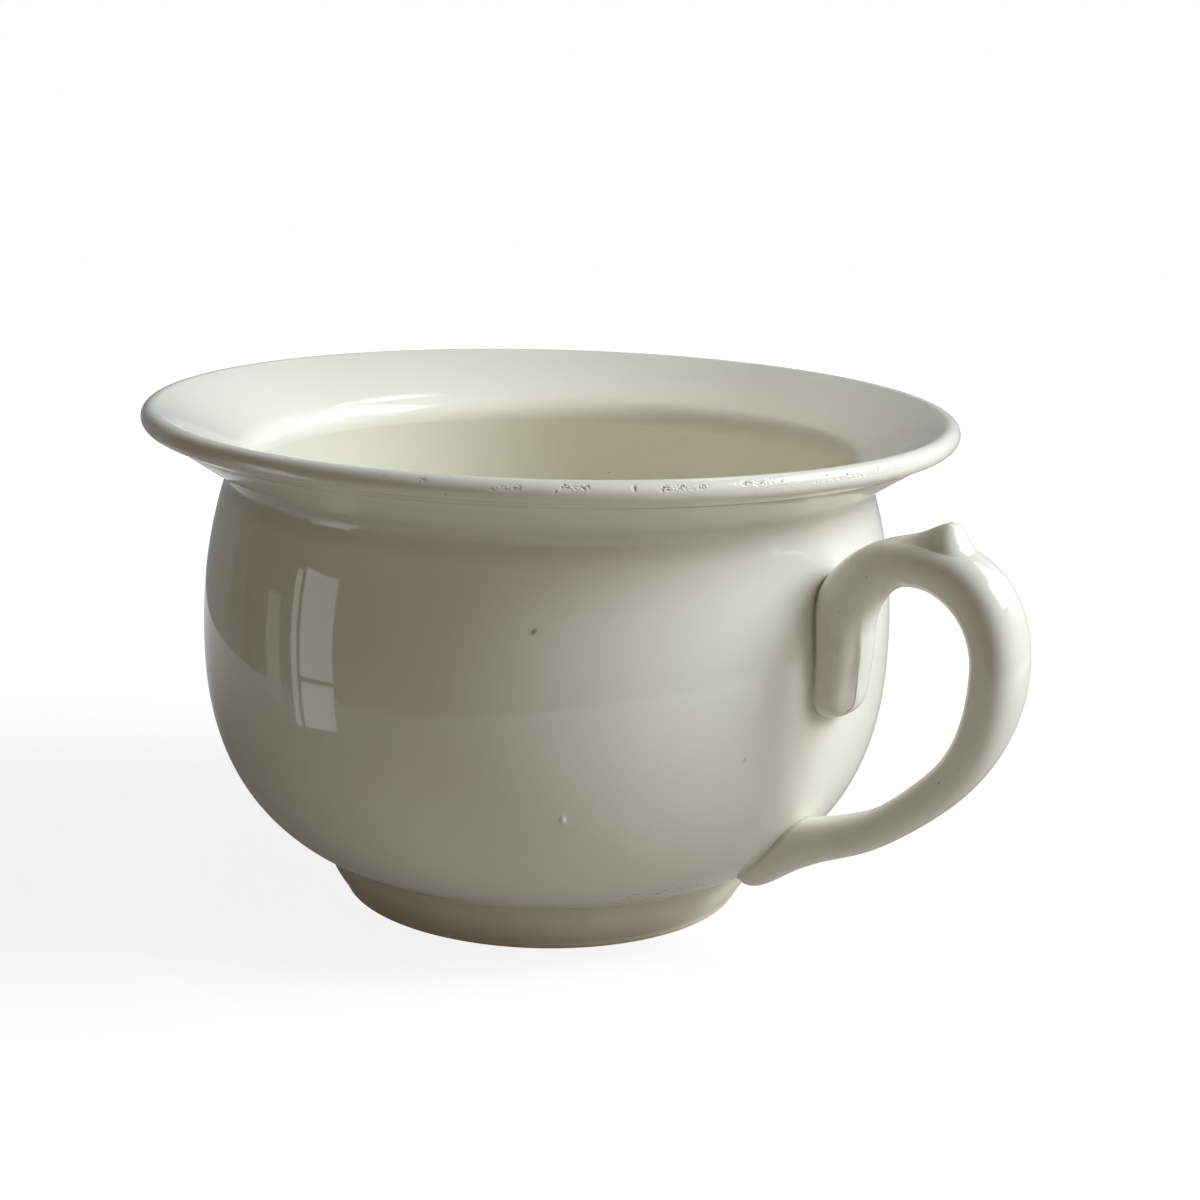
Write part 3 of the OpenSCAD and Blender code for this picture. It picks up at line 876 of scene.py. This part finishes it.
def seen_rays(tree, in_gloss=None):
    """1 for rays from the camera, from gloss or through glass, and 0 for those that only carry light."""
    rays = add_node(tree, "LightPath")
    seen = add_node(tree, "Math", operation="MAXIMUM")
    seen_through = add_node(tree, "Math", operation="MAXIMUM")
    gloss = rays.outputs["Is Glossy Ray"]
    if in_gloss:
        dimmed = add_node(tree, "Math", operation="MULTIPLY")
        link(tree, [(gloss, dimmed.inputs[0]), (in_gloss, dimmed.inputs[1])])
        gloss = dimmed.outputs[0]
    link(tree, [
        (rays.outputs["Is Camera Ray"], seen.inputs[0]), (gloss, seen.inputs[1]),
        (seen.outputs[0], seen_through.inputs[0]),
        (rays.outputs["Is Transmission Ray"], seen_through.inputs[1]),
    ])
    return seen_through.outputs[0]


clear_selection()
bpy.ops.mesh.primitive_circle_add(vertices=96, radius=1.6, fill_type="NGON")
floor = bpy.context.object
floor.name = floor.data.name = "floor"
floor_paint = bpy.data.materials.new("floor_paint")
floor_paint.use_nodes = True
tree = floor_paint.node_tree
tree.nodes.remove(tree.nodes["Principled BSDF"])
place = add_node(tree, "TexCoord").outputs["Object"]
away = add_node(tree, "VectorMath", operation="LENGTH")
whiter = add_node(tree, "MapRange", {"From Min": 0.15, "From Max": 0.7, "To Min": 0.86, "To Max": 1.0})
from_shadow = add_node(tree, "VectorMath", {1: (-0.06, -0.03, 0)}, operation="DISTANCE")
shadow = add_node(tree, "MapRange", {"From Min": 0.09, "From Max": 0.5, "To Min": 0.15, "To Max": 1.0})
strength = add_node(tree, "Math", operation="MULTIPLY")
glow = add_node(tree, "Emission")
seen = seen_rays(tree)
shade = add_node(tree, "Mix", {6: (0.50, 0.47, 0.42, 1), 7: (0.25, 0.25, 0.25, 1)}, data_type="RGBA")
paint = add_node(tree, "BsdfDiffuse")
both = add_node(tree, "AddShader")
link(tree, [
    (place, away.inputs[0]), (away.outputs["Value"], whiter.inputs["Value"]),
    (place, from_shadow.inputs[0]), (from_shadow.outputs["Value"], shadow.inputs["Value"]),
    (whiter.outputs["Result"], strength.inputs[0]),
    (seen_rays(tree, shadow.outputs["Result"]), strength.inputs[1]),
    (seen, shade.inputs[0]), (shade.outputs[2], paint.inputs["Color"]),
    (strength.outputs[0], glow.inputs["Strength"]),
    (glow.outputs[0], both.inputs[0]), (paint.outputs[0], both.inputs[1]),
    (both.outputs[0], tree.nodes["Material Output"].inputs["Surface"]),
])
floor.data.materials.append(floor_paint)
print("floor is", round(floor.dimensions.x, 1), "m across")

# %% [markdown]
# ## Room light
# The room gives a weak warm light from everywhere. Where a ray looks past the floor, it sees plain white.

# %% The world
world = bpy.data.worlds.new("studio")
scene.world = world
world.use_nodes = True
tree = world.node_tree
room = tree.nodes["Background"]
room.inputs["Color"].default_value = (1.0, 0.86, 0.66, 1)
room.inputs["Strength"].default_value = 0.02
white = add_node(tree, "Background", {"Color": (1, 1, 1, 1), "Strength": 1.0})
pick = add_node(tree, "MixShader")
link(tree, [
    (seen_rays(tree), pick.inputs[0]), (room.outputs[0], pick.inputs[1]), (white.outputs[0], pick.inputs[2]),
    (pick.outputs[0], tree.nodes["World Output"].inputs["Surface"]),
])
print("room light:", round(room.inputs["Strength"].default_value, 2))

# %% [markdown]
# ## Window light
# One large window on the right, above and a little behind the handle, gives nearly all the light. Two
# lamps stand for its upper and its lower half, and their light is a little cooler than the room's. The
# sill, the wall on the left and the wall behind the camera throw back weak warm light, and a narrow lamp
# overhead reaches the inside of the bowl. Two more panes of the window show only in the gloss.

# %% The lamps
window_size, window_far, pot_middle = (0.9, 0.9), 1.8, Vector((0, 0, 0.08))
pane_tint = (0.9, 0.97, 1.0)


def window_light(name, azimuth, elevation, power, colour, size=window_size, distance=window_far):
    """A soft rectangular light that looks at the pot's middle. Angles are in degrees, sizes in metres."""
    light_data = bpy.data.lights.new(name, "AREA")
    light_data.shape = "RECTANGLE"
    light_data.size, light_data.size_y = size
    light_data.energy = power
    light_data.color = colour
    light = bpy.data.objects.new(name, light_data)
    scene.collection.objects.link(light)
    a, e = math.radians(azimuth), math.radians(elevation)
    towards = Vector((math.cos(a) * math.cos(e), math.sin(a) * math.cos(e), math.sin(e)))
    light.location = pot_middle + distance * towards
    light.rotation_euler = towards.to_track_quat("Z", "Y").to_euler()
    light.visible_camera = False
    print(name, "at", [round(x, 2) for x in light.location])
    return light


window_light("key_window", 30, 40, 25.5, (0.84, 0.945, 1.0))
low_window = window_light("low_window", 30, 25, 12.5, (0.84, 0.90, 1.0))
sill = window_light("window_sill", 30, 12, 4.0, (1.0, 0.87, 0.66))
left_wall = window_light("left_wall", 180, 27, 2.7, (1.0, 0.895, 0.68))
front_wall = window_light("front_wall", -60, 12, 2.5, (1.0, 0.785, 0.58))
high_pane = window_light("high_pane", 104, 53, 0.9, pane_tint, (0.22, 0.24), 1.2)
tall_pane = window_light("tall_pane", 58, 36, 12, pane_tint, (0.74, 1.05), 1.5)

ceiling_data = bpy.data.lights.new("ceiling_lamp", "SPOT")
ceiling_data.energy, ceiling_data.color = 19, (1.0, 0.86, 0.60)
ceiling_data.spot_size, ceiling_data.spot_blend, ceiling_data.shadow_soft_size = math.radians(11), 0.6, 0.05
ceiling_lamp = bpy.data.objects.new("ceiling_lamp", ceiling_data)
scene.collection.objects.link(ceiling_lamp)
ceiling_lamp.location = (0, 0, 1.2)

for lamp in (low_window, sill, left_wall, front_wall, ceiling_lamp):
    lamp.visible_glossy = False
for lamp in (high_pane, tall_pane):
    lamp.visible_diffuse = False

# %% [markdown]
# ## What the glaze mirrors
# A glaze shows its surroundings. Curved screens stand round the pot: dark ones in front, for the dim room
# behind the camera, and paler ones beside and behind it. Level cards stand for the table top behind the
# pot and the ceiling, and bright panes for a small window on the left and a faint one on the right. Only
# reflections see them, so they neither light the pot nor throw a shadow.

# %% The screens, the cards and the window panes
screen_middle, screen_r, screen_steps = (0.05, 0.12, 0), 0.45, 48
fade_low, fade_high = 0.15, 0.55
warm, cool, pane_white = (1.0, 0.95, 0.85), (0.88, 0.97, 1.0), (1.0, 1.0, 0.98)


def only_in_gloss(card, name, colour, strength, top_strength=None):
    """Gives a card its glow, which can change towards its upper edge, and hides it from all but gloss."""
    paint = bpy.data.materials.new(name)
    paint.use_nodes = True
    tree = paint.node_tree
    tree.nodes.remove(tree.nodes["Principled BSDF"])
    glow = add_node(tree, "Emission", {"Color": (*colour, 1), "Strength": strength})
    link(tree, [(glow.outputs[0], tree.nodes["Material Output"].inputs["Surface"])])
    if top_strength:
        split = add_node(tree, "SeparateXYZ")
        fade = add_node(tree, "MapRange", {"From Min": fade_low, "From Max": fade_high})
        fade.inputs["To Min"].default_value, fade.inputs["To Max"].default_value = strength, top_strength
        link(tree, [
            (add_node(tree, "TexCoord").outputs["Object"], split.inputs[0]),
            (split.outputs["Z"], fade.inputs["Value"]), (fade.outputs["Result"], glow.inputs["Strength"]),
        ])
    card.data.materials.append(paint)
    for ray in ("camera", "diffuse", "transmission", "volume_scatter", "shadow"):
        setattr(card, "visible_" + ray, False)


def curved_screen(name, start, end, height, colour, strength, top_strength=None):
    """An upright curved card round the pot, from one angle to another in degrees."""
    clear_selection()
    bpy.ops.mesh.primitive_plane_add(size=mm)
    card = bpy.context.object
    card.name = card.data.name = name
    bpy.ops.object.mode_set(mode="EDIT")
    bpy.ops.mesh.merge(type="CENTER")
    bpy.ops.transform.translate(value=(screen_r, 0, 0))
    bpy.ops.mesh.extrude_vertices_move(TRANSFORM_OT_translate={"value": (0, 0, height)})
    bpy.ops.object.mode_set(mode="OBJECT")
    apply_modifier(card, "SCREW", axis="Z", angle=math.radians(end - start), steps=screen_steps,
                   render_steps=screen_steps)
    card.location, card.rotation_euler = screen_middle, (0, 0, math.radians(start))
    only_in_gloss(card, name + "_cloth", colour, strength, top_strength)


curved_screen("dark_screen", -143, 10, 0.32, warm, 0.06)
curved_screen("dim_screen", -151, -143, 0.32, warm, 0.2)
curved_screen("back_screen", 80, 209, 0.55, cool, 0.3, 0.9)
curved_screen("right_screen", 10, 80, 0.2, warm, 0.35)


def level_card(name, place, size, colour, strength):
    clear_selection()
    bpy.ops.mesh.primitive_plane_add(size=1, location=place)
    card = bpy.context.object
    card.name = card.data.name = name
    card.scale = (*size, 1)
    only_in_gloss(card, name + "_cloth", colour, strength)


level_card("back_table", (0.08, 0.30, mm), (0.42, 0.54), warm, 0.4)
level_card("ceiling", (0, 0, 1.5), (4.4, 4.4), cool, 0.45)


def pane(name, x, y, facing, width, low, high, strength):
    """An upright bright pane. Its middle and width are in mm, and facing is the way it looks, in degrees."""
    clear_selection()
    bpy.ops.mesh.primitive_plane_add(size=1, location=(x * mm, y * mm, (low + high) / 2 * mm),
                                     rotation=(math.pi / 2, 0, math.radians(facing + 90)))
    card = bpy.context.object
    card.name = card.data.name = name
    card.scale = (width * mm, (high - low) * mm, 1)
    only_in_gloss(card, name + "_glow", pane_white, strength)


pane("pane_upper", -98, -217, 57, 47, 39, 122, 2.6)
pane("pane_lower", -98, -217, 57, 47, 2, 35, 2.6)
pane("pane_side", -126, -199, 57, 9, 2, 118, 2.3)
pane("pane_far", -152, -175, 49, 24, 18, 93, 0.7)
pane("pane_right", 369, -162, 160, 32, 95, 190, 0.4)
